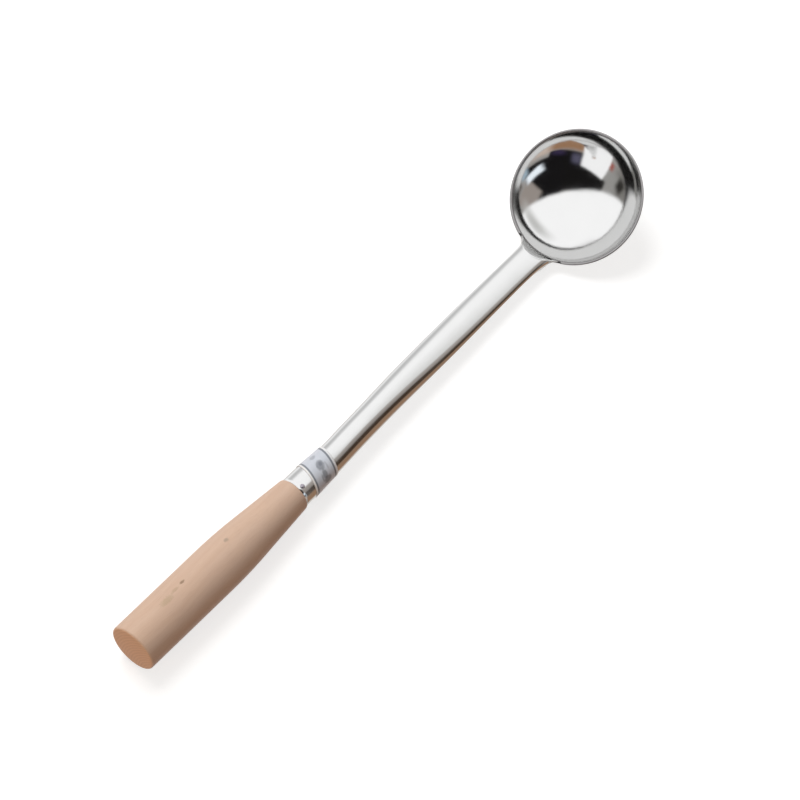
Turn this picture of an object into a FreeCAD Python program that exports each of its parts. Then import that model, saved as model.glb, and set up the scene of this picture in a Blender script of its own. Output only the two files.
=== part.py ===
"""Wok ladle: a pressed steel bowl whose sheet runs on into a rolled shank, and a turned wooden grip.

Ladle frame: the rim lies in the plane z = 0 with its centre at the origin, and the shank leaves towards -y.
The finished pieces are then turned and lifted into the pose in which the ladle lies on a table.
"""
import FreeCAD
import Part
import math
import os

Vector = FreeCAD.Vector

# Bowl
RIM_RADIUS = 45.0
SHEET = 1.4
FLOOR_ARC_RADIUS = 53.6
FLOOR_ARC_EDGE = 35.2
RIM_WALL_SLOPE = 60.0
LIP_CROWN = 0.45

# Neck: the wall of the bowl climbs above the rim to meet the crown of the shank in a soft fold
NECK_WALL_SLOPE = 72.0
NECK_WALL_HEIGHT = 20.0

# Shank: a straight reference line that rises from the near edge of the rim
SHANK_SLOPE = 31.4
SHANK_START_HEIGHT = 4.3
SHANK_LENGTH = 243.0
SEAM_GAP = 0.5

# Socket end of the shank, in line with the wooden grip; the hand-set grip leans slightly to one side
SOCKET_RADIUS = 11.05
SOCKET_STRAIGHT = 7.0
GRIP_OFFSET = 1.5
GRIP_YAW = 0.85

# Wooden grip, measured from its shoulder on the end of the socket
GRIP_LENGTH = 149.5
GRIP_RADIUS = 16.7
GRIP_STRAIGHT = 75.0
GRIP_BEND_LENGTH = 31.0
GRIP_NOSE_RADIUS = 11.75
GRIP_BUTT_ROUND = 1.6
GRIP_NOSE_ROUND = 0.7
BUTT_DOME = 0.7
TENON_LENGTH = 27.0
TENON_CLEARANCE = 0.12
TENON_TIP_RADIUS = 8.2

# Pin through the socket and tenon
PIN_RADIUS = 0.9
PIN_LENGTH = 13.0
PIN_HEAD_RADIUS = 1.6
PIN_HEAD_HEIGHT = 0.7
PIN_FROM_SHOULDER = 3.2
PIN_TURN = 22.0
PIN_CLEARANCE = 0.03
PIN_HEAD_SEAT = 0.01

# Printed band round the shank
BAND_START = 12.1
BAND_WIDTH = 21.0
BAND_SKEW = 13.0
BAND_REACH = 37.0
BAND_THICKNESS = 0.18
BAND_CLEARANCE = 0.09

# Stations of the shank: reach along the reference line from the rim, sideways bow of the centre, half width,
# crown above centre, depth of the flanks below centre, wrap from the crown to the sheet edge in degrees (None
# where the seam is closed), and outward flare of that edge.
SHANK_STATIONS = (
    (-8.5, 0.0, 13.2, 4.8, 19.5, 100.0, 3.2),
    (-5.8, 0.0, 12.8, 4.8, 19.5, 100.0, 4.3),
    (-2.5, 0.0, 11.5, 4.8, 19.5, 100.0, 1.8),
    (2.0, 0.0, 10.6, 4.8, 16.6, 102.0, 0.5),
    (12.0, -0.2, 10.2, 4.8, 9.0, 110.0, 0.0),
    (32.0, -0.4, 10.25, 5.1, 5.4, 125.0, 0.0),
    (62.0, -0.4, 10.55, 5.8, 5.8, 144.0, 0.0),
    (100.0, -0.2, 10.7, 7.1, 7.1, 163.0, 0.0),
    (140.0, 0.1, 10.2, 8.7, 8.7, 176.0, 0.0),
    (170.0, 0.85, 9.7, 9.55, 9.55, None, 0.0),
)
# Closed tube of the socket end: distance from the shoulder, sideways drift off the grip's axis, and radius
SOCKET_STATIONS = (
    (52.0, -0.82, 9.7),
    (35.0, 0.0, 9.85),
    (24.0, 0.0, 10.4),
    (13.0, 0.0, 10.95),
    (SOCKET_STRAIGHT, 0.0, SOCKET_RADIUS),
    (0.0, 0.0, SOCKET_RADIUS),
)
OUTLINE_STEPS = 6


def polar(angle):
    """Unit direction in the y-z plane that rises away from the bowl at the given angle."""
    return Vector(0, -math.cos(math.radians(angle)), math.sin(math.radians(angle)))


SIDE = Vector(1, 0, 0)
SHANK_DIR = polar(SHANK_SLOPE)
SHANK_UP = polar(SHANK_SLOPE + 90)
SHANK_ORIGIN = Vector(0, -RIM_RADIUS, SHANK_START_HEIGHT)
SHOULDER = SHANK_ORIGIN + SHANK_DIR * SHANK_LENGTH + SIDE * GRIP_OFFSET
GRIP_DIR = SHANK_DIR * math.cos(math.radians(GRIP_YAW)) - SIDE * math.sin(math.radians(GRIP_YAW))
GRIP_SIDE = SIDE * math.cos(math.radians(GRIP_YAW)) + SHANK_DIR * math.sin(math.radians(GRIP_YAW))


def arc_through(a, b, c):
    return Part.Arc(a, b, c).toShape()


def line(a, b):
    return Part.LineSegment(a, b).toShape()


def revolve(edges, axis_point, axis_dir):
    face = Part.Face(Part.Wire(Part.__sortEdges__(edges)))
    return face.revolve(axis_point, axis_dir, 360)


def bowl_curve(offset):
    """Radii, heights and arc centres of the bowl section, moved outwards by offset."""
    slope_edge = math.asin(FLOOR_ARC_EDGE / FLOOR_ARC_RADIUS)
    slope_rim = math.radians(RIM_WALL_SLOPE)
    inner_rim = RIM_RADIUS - SHEET / math.sin(slope_rim)
    side_radius = (inner_rim - FLOOR_ARC_EDGE) / (math.sin(slope_rim) - math.sin(slope_edge))
    side_rise = side_radius * (math.cos(slope_edge) - math.cos(slope_rim))
    floor_rise = FLOOR_ARC_RADIUS * (1 - math.cos(slope_edge))
    floor_centre = Vector(0, 0, FLOOR_ARC_RADIUS - floor_rise - side_rise)
    shift = FLOOR_ARC_RADIUS - side_radius
    side_centre = floor_centre + Vector(shift * math.sin(slope_edge), 0, -shift * math.cos(slope_edge))

    def on_arc(centre, radius, slope):
        return centre + Vector(math.sin(slope), 0, -math.cos(slope)) * (radius + offset)

    bottom = on_arc(floor_centre, FLOOR_ARC_RADIUS, 0)
    mid_floor = on_arc(floor_centre, FLOOR_ARC_RADIUS, slope_edge / 2)
    joint = on_arc(floor_centre, FLOOR_ARC_RADIUS, slope_edge)
    mid_side = on_arc(side_centre, side_radius, (slope_edge + slope_rim) / 2)
    rim = on_arc(side_centre, side_radius, slope_rim)
    return bottom, mid_floor, joint, mid_side, rim, floor_centre


def wall_at(start, slope, height):
    """Point reached by climbing from start at the given slope up to the given height."""
    return Vector(start.x + (height - start.z) / math.tan(math.radians(slope)), 0, height)


def bowl_solid():
    """The pressed cap, open at the top, with a softly crowned lip of the full sheet thickness."""
    inside = bowl_curve(0)
    outside = bowl_curve(SHEET)
    outer_rim = wall_at(outside[4], RIM_WALL_SLOPE, 0)
    lip = (inside[4] + outer_rim) * 0.5 + Vector(0, 0, LIP_CROWN)
    edges = [
        arc_through(inside[0], inside[1], inside[2]),
        arc_through(inside[2], inside[3], inside[4]),
        arc_through(inside[4], lip, outer_rim),
        line(outer_rim, outside[4]),
        arc_through(outside[4], outside[3], outside[2]),
        arc_through(outside[2], outside[1], outside[0]),
        line(outside[0], inside[0]),
    ]
    return revolve(edges, Vector(0, 0, 0), Vector(0, 0, 1))


def bowl_cavity():
    """Everything inside the bowl, carried on upwards by the steeper wall of the neck."""
    inside = bowl_curve(0)
    top = wall_at(inside[4], NECK_WALL_SLOPE, NECK_WALL_HEIGHT)
    edges = [
        arc_through(inside[0], inside[1], inside[2]),
        arc_through(inside[2], inside[3], inside[4]),
        line(inside[4], top),
        line(top, Vector(0, 0, top.z)),
        line(Vector(0, 0, top.z), inside[0]),
    ]
    return revolve(edges, Vector(0, 0, 0), Vector(0, 0, 1))


def neck_wall():
    """Ring of wall that climbs from the rim, before it is trimmed to the neck and opened by the cavity."""
    inside = bowl_curve(0)[4]
    rim = wall_at(bowl_curve(SHEET)[4], RIM_WALL_SLOPE, 0)
    foot = Vector(rim.x - SHEET / 2, 0, -SHEET / 2)
    top_outside = wall_at(rim, NECK_WALL_SLOPE, NECK_WALL_HEIGHT)
    core = Vector(inside.x - SHEET, 0, NECK_WALL_HEIGHT)
    edges = [
        line(foot, rim),
        line(rim, top_outside),
        line(top_outside, core),
        line(core, Vector(core.x, 0, foot.z)),
        line(Vector(core.x, 0, foot.z), foot),
    ]
    return revolve(edges, Vector(0, 0, 0), Vector(0, 0, 1))


def half_outline(half_width, crown, depth, wrap, flare, inset):
    """Points (x, w) of the right half of a section from the crown to the sheet edge."""
    points = []
    for step in range(OUTLINE_STEPS + 1):
        t = step / OUTLINE_STEPS
        angle = math.radians(wrap) * t
        height = crown if angle < math.pi / 2 else depth
        x = half_width * math.sin(angle)
        w = height * math.cos(angle)
        nx = height * math.sin(angle)
        nw = half_width * math.cos(angle)
        size = math.hypot(nx, nw)
        x += flare * t ** 4
        points.append((x - inset * nx / size, w - inset * nw / size))
    return points


def section_points(origin, side, outline):
    """Places a full outline, left edge over the crown to right edge, in the plane of a station."""
    left = [origin - side * x + SHANK_UP * w for x, w in reversed(outline)]
    right = [origin + side * x + SHANK_UP * w for x, w in outline[1:]]
    return left + right


def curve_edge(points):
    """Smooth edge through evenly numbered points, so that all sections share one set of knots."""
    last = len(points) - 1
    curve = Part.BSplineCurve()
    curve.interpolate(Points=points, Parameters=[i / last for i in range(last + 1)])
    return curve.toShape()


def shank_places():
    """Every station as origin, side direction, half width, crown, depth, wrap and flare."""
    places = []
    for reach, bow, half_width, crown, depth, wrap, flare in SHANK_STATIONS:
        origin = SHANK_ORIGIN + SHANK_DIR * reach + SIDE * bow
        places.append((origin, SIDE, half_width, crown, depth, wrap, flare))
    for back, drift, radius in SOCKET_STATIONS:
        origin = SHOULDER - GRIP_DIR * back + GRIP_SIDE * drift
        places.append((origin, GRIP_SIDE, radius, radius, radius, None, 0.0))
    return places


def closed_wrap(radius):
    """Wrap angle that leaves only the seam open."""
    return 180 - math.degrees(math.asin(SEAM_GAP / 2 / radius))


def sheet_wire(place):
    origin, side, half_width, crown, depth, wrap, flare = place
    if wrap is None:
        wrap = closed_wrap(half_width)
    outer = section_points(origin, side, half_outline(half_width, crown, depth, wrap, flare, 0))
    inner = section_points(origin, side, half_outline(half_width, crown, depth, wrap, flare, SHEET))
    edges = [
        curve_edge(outer),
        line(outer[-1], inner[-1]),
        curve_edge(list(reversed(inner))),
        line(inner[0], outer[0]),
    ]
    return Part.Wire(edges)


def shank_sheet():
    """Rolled sheet: an arch at the neck that closes into a round socket, with its seam underneath."""
    return Part.makeLoft([sheet_wire(place) for place in shank_places()], True, False)


def neck_core():
    """Filled arch of the neck up to mid sheet, which trims the climbing wall to the outline of the shank."""
    wires = []
    for place in shank_places()[:7]:
        origin, side, half_width, crown, depth, wrap, flare = place
        middle = section_points(origin, side, half_outline(half_width, crown, depth, wrap, flare, SHEET / 2))
        wires.append(Part.Wire([curve_edge(middle), line(middle[-1], middle[0])]))
    return Part.makeLoft(wires, True, False)


def steel_body():
    """Bowl, neck and shank as the single piece of sheet they are pressed from."""
    tab = neck_wall().common(neck_core())
    body = bowl_solid().fuse(shank_sheet()).fuse(tab)
    return body.cut(bowl_cavity()).cut(pin_hole()).removeSplitter().Solids[0]


def grip_point(along, radius):
    """Point on the section of the grip; along is measured from the shoulder towards the butt."""
    return SHOULDER + GRIP_DIR * along + SHANK_UP * radius


def grip_solid():
    """Straight barrel, long shoulder curve, conical nose and the tenon that fills the socket."""
    nose_start = GRIP_LENGTH - GRIP_STRAIGHT - GRIP_BEND_LENGTH
    tenon = SOCKET_RADIUS - SHEET - TENON_CLEARANCE
    fall = (GRIP_RADIUS - GRIP_NOSE_RADIUS) / (nose_start + GRIP_BEND_LENGTH / 2)
    bend_start_radius = GRIP_NOSE_RADIUS + fall * nose_start
    bend_mid = (GRIP_RADIUS + bend_start_radius) / 2 + fall * GRIP_BEND_LENGTH / 8
    edges = [
        line(grip_point(-TENON_LENGTH, 0), grip_point(-TENON_LENGTH, TENON_TIP_RADIUS)),
        line(grip_point(-TENON_LENGTH, TENON_TIP_RADIUS), grip_point(-SOCKET_STRAIGHT, tenon)),
        line(grip_point(-SOCKET_STRAIGHT, tenon), grip_point(0, tenon)),
        line(grip_point(0, tenon), grip_point(0, GRIP_NOSE_RADIUS)),
        line(grip_point(0, GRIP_NOSE_RADIUS), grip_point(nose_start, bend_start_radius)),
        arc_through(
            grip_point(nose_start, bend_start_radius),
            grip_point(nose_start + GRIP_BEND_LENGTH / 2, bend_mid),
            grip_point(nose_start + GRIP_BEND_LENGTH, GRIP_RADIUS),
        ),
        line(grip_point(nose_start + GRIP_BEND_LENGTH, GRIP_RADIUS), grip_point(GRIP_LENGTH, GRIP_RADIUS)),
        arc_through(
            grip_point(GRIP_LENGTH, GRIP_RADIUS),
            grip_point(GRIP_LENGTH + BUTT_DOME * 0.75, GRIP_RADIUS / 2),
            grip_point(GRIP_LENGTH + BUTT_DOME, 0),
        ),
        line(grip_point(GRIP_LENGTH + BUTT_DOME, 0), grip_point(-TENON_LENGTH, 0)),
    ]
    grip = revolve(edges, SHOULDER, GRIP_DIR)
    grip = grip.makeFillet(GRIP_BUTT_ROUND, circle_edges(grip, GRIP_RADIUS, GRIP_LENGTH))
    grip = grip.makeChamfer(GRIP_NOSE_ROUND, circle_edges(grip, GRIP_NOSE_RADIUS, 0))
    return grip.cut(pin_hole()).Solids[0]


def circle_edges(shape, radius, along):
    """Round edges of a turned piece with the given radius at the given distance along the grip."""
    centre = SHOULDER + GRIP_DIR * along
    found = []
    for edge in shape.Edges:
        if edge.Degenerated:
            continue
        curve = edge.Curve
        if isinstance(curve, Part.Circle) and abs(curve.Radius - radius) < 0.01:
            if curve.Center.distanceToPoint(centre) < 0.01:
                found.append(edge)
    return found


def pin_frame():
    """Point on the outside of the socket and outward direction of the pin."""
    turn = math.radians(PIN_TURN)
    outward = SHANK_UP * math.cos(turn) + GRIP_SIDE * math.sin(turn)
    centre = SHOULDER - GRIP_DIR * PIN_FROM_SHOULDER
    return centre + outward * SOCKET_RADIUS, outward


def pin_hole():
    surface, outward = pin_frame()
    radius = PIN_RADIUS + PIN_CLEARANCE
    return Part.makeCylinder(radius, PIN_LENGTH + 2, surface - outward * (PIN_LENGTH + PIN_CLEARANCE), outward)


def pin_solid():
    """Plain wire pin with a low domed head that sits on the socket."""
    surface, outward = pin_frame()
    body = Part.makeCylinder(PIN_RADIUS, PIN_LENGTH + 0.3, surface - outward * PIN_LENGTH, outward)
    sphere_radius = (PIN_HEAD_RADIUS ** 2 + PIN_HEAD_HEIGHT ** 2) / (2 * PIN_HEAD_HEIGHT)
    centre = surface + outward * (PIN_HEAD_HEIGHT - sphere_radius)
    dome = Part.makeSphere(sphere_radius, centre)
    blank = Part.makeCylinder(PIN_HEAD_RADIUS, 3, surface - outward, outward)
    seat = SHOULDER - GRIP_DIR * TENON_LENGTH
    socket = Part.makeCylinder(SOCKET_RADIUS + PIN_HEAD_SEAT, TENON_LENGTH, seat, GRIP_DIR)
    return body.fuse(dome.common(blank).cut(socket)).removeSplitter().Solids[0]


def band_solid():
    """Thin printed band wrapped round the flared part of the socket, cut slightly askew."""
    wide, narrow = SOCKET_STATIONS[3], SOCKET_STATIONS[1]
    fall = (narrow[2] - wide[2]) / (narrow[0] - wide[0])
    tip = wide[2] + fall * (BAND_REACH - wide[0])
    ends = ((SOCKET_STRAIGHT, SOCKET_RADIUS), (wide[0], wide[2]), (BAND_REACH, tip))
    inner = [grip_point(-back, radius + BAND_CLEARANCE) for back, radius in ends]
    outer = [point + SHANK_UP * BAND_THICKNESS for point in reversed(inner)]
    corners = inner + outer
    edges = [line(corners[i - 1], corners[i]) for i in range(len(corners))]
    turn = math.radians(BAND_SKEW)
    normal = GRIP_DIR * math.cos(turn) - GRIP_SIDE * math.sin(turn)
    start = SHOULDER - GRIP_DIR * (BAND_START + BAND_WIDTH)
    slab = Part.makeCylinder(2 * GRIP_RADIUS, BAND_WIDTH * math.cos(turn), start, normal)
    return revolve(edges, SHOULDER, GRIP_DIR).common(slab).Solids[0]


def rest_tilt():
    """Angle that lays the underside of the bowl and the barrel of the grip on one plane."""
    centre = bowl_curve(0)[5]
    radius = FLOOR_ARC_RADIUS + SHEET
    tilts = []
    for along in (GRIP_LENGTH, GRIP_LENGTH - GRIP_STRAIGHT):
        low = SHOULDER + GRIP_DIR * along - SHANK_UP * GRIP_RADIUS
        reach = math.hypot(low.y - centre.y, low.z - centre.z)
        bearing = math.atan2(low.z - centre.z, centre.y - low.y)
        tilts.append(bearing + math.asin(radius / reach))
    return min(tilts)


def lay_down(shapes):
    """Turns all pieces onto the table and centres them over the origin."""
    tilt = math.degrees(rest_tilt())
    laid = [shape.copy() for shape in shapes]
    for shape in laid:
        shape.rotate(Vector(0, 0, 0), Vector(1, 0, 0), tilt)
    box = Part.makeCompound(laid).optimalBoundingBox(False)
    shift = Vector(-box.Center.x, -box.Center.y, -box.ZMin)
    for shape in laid:
        shape.translate(shift)
    return laid


def main():
    names = ("ladle_body", "wooden_grip", "grip_pin", "printed_band")
    shapes = lay_down((steel_body(), grip_solid(), pin_solid(), band_solid()))
    os.makedirs("parts", exist_ok=True)
    for name, shape in zip(names, shapes):
        shape.exportStep("parts/" + name + ".step")
        box = shape.BoundBox
        print(name, shape.ShapeType, len(shape.Solids), shape.isValid(), round(shape.Volume, 1), box)


main()
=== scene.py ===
import logging
import math
from dataclasses import dataclass, field
from enum import Enum
from typing import NamedTuple

import bmesh
import bpy
import numpy as np
from mathutils import Matrix, Vector


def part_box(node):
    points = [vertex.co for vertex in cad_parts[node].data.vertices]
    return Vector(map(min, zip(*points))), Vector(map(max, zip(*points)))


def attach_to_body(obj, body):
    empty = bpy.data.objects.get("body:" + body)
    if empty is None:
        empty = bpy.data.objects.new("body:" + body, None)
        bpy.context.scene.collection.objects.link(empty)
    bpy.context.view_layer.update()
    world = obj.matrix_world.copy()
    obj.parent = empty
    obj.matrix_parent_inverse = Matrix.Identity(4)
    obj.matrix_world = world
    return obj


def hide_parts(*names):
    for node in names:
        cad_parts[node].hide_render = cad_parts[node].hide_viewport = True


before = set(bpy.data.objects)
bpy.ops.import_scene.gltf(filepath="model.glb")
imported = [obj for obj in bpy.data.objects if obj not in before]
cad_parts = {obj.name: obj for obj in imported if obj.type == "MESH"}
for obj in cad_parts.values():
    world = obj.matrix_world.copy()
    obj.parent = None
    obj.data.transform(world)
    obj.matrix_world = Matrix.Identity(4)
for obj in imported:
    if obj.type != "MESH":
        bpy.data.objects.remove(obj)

Socket = bpy.types.NodeSocket
Colour = tuple[float, float, float]
Shade = tuple[int, int, int]
Profile = list[tuple[float, float]]
Faces = list[tuple[int, ...]]

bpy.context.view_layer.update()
LOG = logging.getLogger("wok_ladle")
MM = 0.001
SIDEWAYS = np.array([1.0, 0.0, 0.0])
UPWARDS = np.array([0.0, 0.0, 1.0])
STEEL_TINT: Colour = (0.68, 0.68, 0.675)


class Flow(Enum):
    """Which way the polish of the steel runs, with the stretch of its three coordinates."""

    ROUND = (4.0, 0.8, 1.0)
    ALONG = (4.0, 4.0, 0.06)


def unit(vector: np.ndarray) -> np.ndarray:
    """The vector, or each row of an array of them, at length one."""
    size = np.linalg.norm(vector, axis=-1, keepdims=True)
    return vector / np.maximum(size, 1e-12)


def ease(value: float) -> float:
    """Smooth step from 0 to 1."""
    value = min(1.0, max(0.0, value))
    return value * value * (3 - 2 * value)


def arc(centre: tuple[float, float], radius: float, start: float, end: float, steps: int) -> Profile:
    """Points of an arc.

    Args:
        centre: Centre in the plane of the arc.
        radius: Radius.
        start: First angle in degrees.
        end: Last angle in degrees.
        steps: Number of chords.

    Returns:
        The points, both ends among them.
    """
    points = []
    for step in range(steps + 1):
        angle = math.radians(start + (end - start) * step / steps)
        points.append((centre[0] + radius * math.cos(angle), centre[1] + radius * math.sin(angle)))
    return points


def matrix_of(axes: tuple, corner: Vector | np.ndarray) -> Matrix:
    """Matrix from its three axes and its origin.

    Args:
        axes: The x, y and z axes.
        corner: The origin.

    Returns:
        The matrix, with the axes as its columns.
    """
    matrix = Matrix.Identity(4)
    for i, axis in enumerate(axes):
        matrix.col[i] = (*axis, 0.0)
    matrix.col[3] = (*corner, 1.0)
    return matrix


def put(name: str, data: bpy.types.ID) -> bpy.types.Object:
    """Puts a mesh, lamp or camera into the scene.

    Args:
        name: Name of the object.
        data: What the object shows.

    Returns:
        The object, at the origin.
    """
    made = bpy.data.objects.new(name, data)
    bpy.context.scene.collection.objects.link(made)
    return made


def face_outwards(mesh: bpy.types.Mesh) -> None:
    """Turns all faces of a closed mesh outwards.

    Args:
        mesh: The mesh, changed in place.
    """
    work = bmesh.new()
    work.from_mesh(mesh)
    bmesh.ops.recalc_face_normals(work, faces=work.faces)
    work.to_mesh(mesh)
    work.free()


class NaturalSpline:
    """Curve through rows of values that bends evenly and ends straight."""

    def __init__(self, places: np.ndarray, values: np.ndarray) -> None:
        """Solves the second derivatives at the places.

        Args:
            places: Increasing parameters, one for each row.
            values: Rows of values.
        """
        self.places = places
        self.values = values
        count = len(places)
        gaps = np.diff(places)
        matrix = np.eye(count)
        right = np.zeros_like(values)
        for i in range(1, count - 1):
            matrix[i, i - 1:i + 2] = gaps[i - 1], 2 * (gaps[i - 1] + gaps[i]), gaps[i]
            after = (values[i + 1] - values[i]) / gaps[i]
            before = (values[i] - values[i - 1]) / gaps[i - 1]
            right[i] = 6 * (after - before)
        self.bends = np.linalg.solve(matrix, right)

    def at(self, place: float) -> np.ndarray:
        """Reads the curve.

        Args:
            place: Parameter.

        Returns:
            The row of values there.
        """
        i = int(np.clip(np.searchsorted(self.places, place) - 1, 0, len(self.places) - 2))
        gap = self.places[i + 1] - self.places[i]
        a = (self.places[i + 1] - place) / gap
        b = 1 - a
        straight = a * self.values[i] + b * self.values[i + 1]
        bend = (a ** 3 - a) * self.bends[i] + (b ** 3 - b) * self.bends[i + 1]
        return straight + bend * gap * gap / 6


@dataclass
class LadleFrame:
    """Ladle frame in mm: rim plane z = 0, rim centre at the origin, shank towards -y."""

    rim_radius: float = 45.0
    floor_radius: float = 53.6
    floor_edge: float = 35.2
    rim_slope: float = 60.0
    sheet: float = 1.4
    shank_slope: float = 31.4
    start_height: float = 4.3
    shank_length: float = 243.0
    socket_radius: float = 11.05
    grip_offset: float = 1.5
    grip_yaw: float = 0.85
    grip_length: float = 149.5
    grip_radius: float = 16.7
    grip_straight: float = 75.0
    along: np.ndarray = field(init=False)
    over: np.ndarray = field(init=False)
    start: np.ndarray = field(init=False)
    shoulder: np.ndarray = field(init=False)
    grip_along: np.ndarray = field(init=False)
    grip_side: np.ndarray = field(init=False)
    inner_rim: float = field(init=False)
    tilt: float = field(init=False)
    shift: np.ndarray = field(init=False)

    def __post_init__(self) -> None:
        """Works out the directions and places that the pieces share."""
        slope = math.radians(self.shank_slope)
        yaw = math.radians(self.grip_yaw)
        self.along = np.array([0.0, -math.cos(slope), math.sin(slope)])
        self.over = np.array([0.0, math.sin(slope), math.cos(slope)])
        self.start = np.array([0.0, -self.rim_radius, self.start_height])
        self.shoulder = self.start + self.along * self.shank_length + SIDEWAYS * self.grip_offset
        self.grip_along = self.along * math.cos(yaw) - SIDEWAYS * math.sin(yaw)
        self.grip_side = SIDEWAYS * math.cos(yaw) + self.along * math.sin(yaw)
        self.inner_rim = self.rim_radius - self.sheet / math.sin(math.radians(self.rim_slope))
        self.tilt = self.rest_tilt()
        self.shift = np.zeros(3)

    def edge_slope(self) -> float:
        """Slope in radians at the edge of the bowl's floor arc."""
        return math.asin(self.floor_edge / self.floor_radius)

    def wall_radius(self) -> float:
        """Radius of the arc of the bowl's wall, which runs on smoothly from the floor arc."""
        spread = math.sin(math.radians(self.rim_slope)) - math.sin(self.edge_slope())
        return (self.inner_rim - self.floor_edge) / spread

    def floor_centre_height(self) -> float:
        """Height of the centre of the floor arc over the rim plane."""
        fall = math.cos(self.edge_slope()) - math.cos(math.radians(self.rim_slope))
        return self.floor_radius * math.cos(self.edge_slope()) - self.wall_radius() * fall

    def rest_tilt(self) -> float:
        """Finds how the ladle lies, with the bowl and the barrel of the grip on one plane.

        Returns:
            Angle in radians about the x axis.
        """
        centre = np.array([0.0, 0.0, self.floor_centre_height()])
        radius = self.floor_radius + self.sheet
        tilts = []
        for along in (self.grip_length, self.grip_length - self.grip_straight):
            low = self.shoulder + self.grip_along * along - self.over * self.grip_radius
            reach = math.hypot(low[1], low[2] - centre[2])
            bearing = math.atan2(low[2] - centre[2], -low[1])
            tilts.append(bearing + math.asin(radius / reach))
        return min(tilts)

    def turned(self, points: np.ndarray) -> np.ndarray:
        """Turns points into the resting pose.

        Args:
            points: Points in mm.

        Returns:
            The points in metres, not yet shifted.
        """
        c, s = math.cos(self.tilt), math.sin(self.tilt)
        turn = np.array([[1, 0, 0], [0, c, -s], [0, s, c]])
        return points @ turn.T * MM

    def seat(self, points: np.ndarray) -> None:
        """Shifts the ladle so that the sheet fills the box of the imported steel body.

        Args:
            points: Points of the sheet in mm.
        """
        low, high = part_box("ladle_body")
        laid = self.turned(points)
        self.shift = np.array([
            (low.x + high.x) / 2 - (laid[:, 0].min() + laid[:, 0].max()) / 2,
            high.y - laid[:, 1].max(),
            low.z - laid[:, 2].min(),
        ])

    def place(self, points: np.ndarray) -> np.ndarray:
        """Points of the ladle frame in mm as points of the shared frame in metres."""
        return self.turned(np.asarray(points, float)) + self.shift

    def axes(self, origin: np.ndarray, x: np.ndarray, y: np.ndarray, z: np.ndarray) -> Matrix:
        """Carries a piece, made in metres about its own z axis, to its place.

        Args:
            origin: Where its origin goes, in mm.
            x: Where its x axis points.
            y: Where its y axis points.
            z: Where its z axis points.

        Returns:
            Matrix from its own axes to the shared frame.
        """
        corner = self.place(origin[None])[0]
        return matrix_of(tuple(self.turned(v[None])[0] / MM for v in (x, y, z)), corner)

    def grip_axes(self) -> Matrix:
        """Own axes of the grip: z from its shoulder towards the butt, y over the crown."""
        return self.axes(self.shoulder, -self.grip_side, self.over, self.grip_along)


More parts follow.
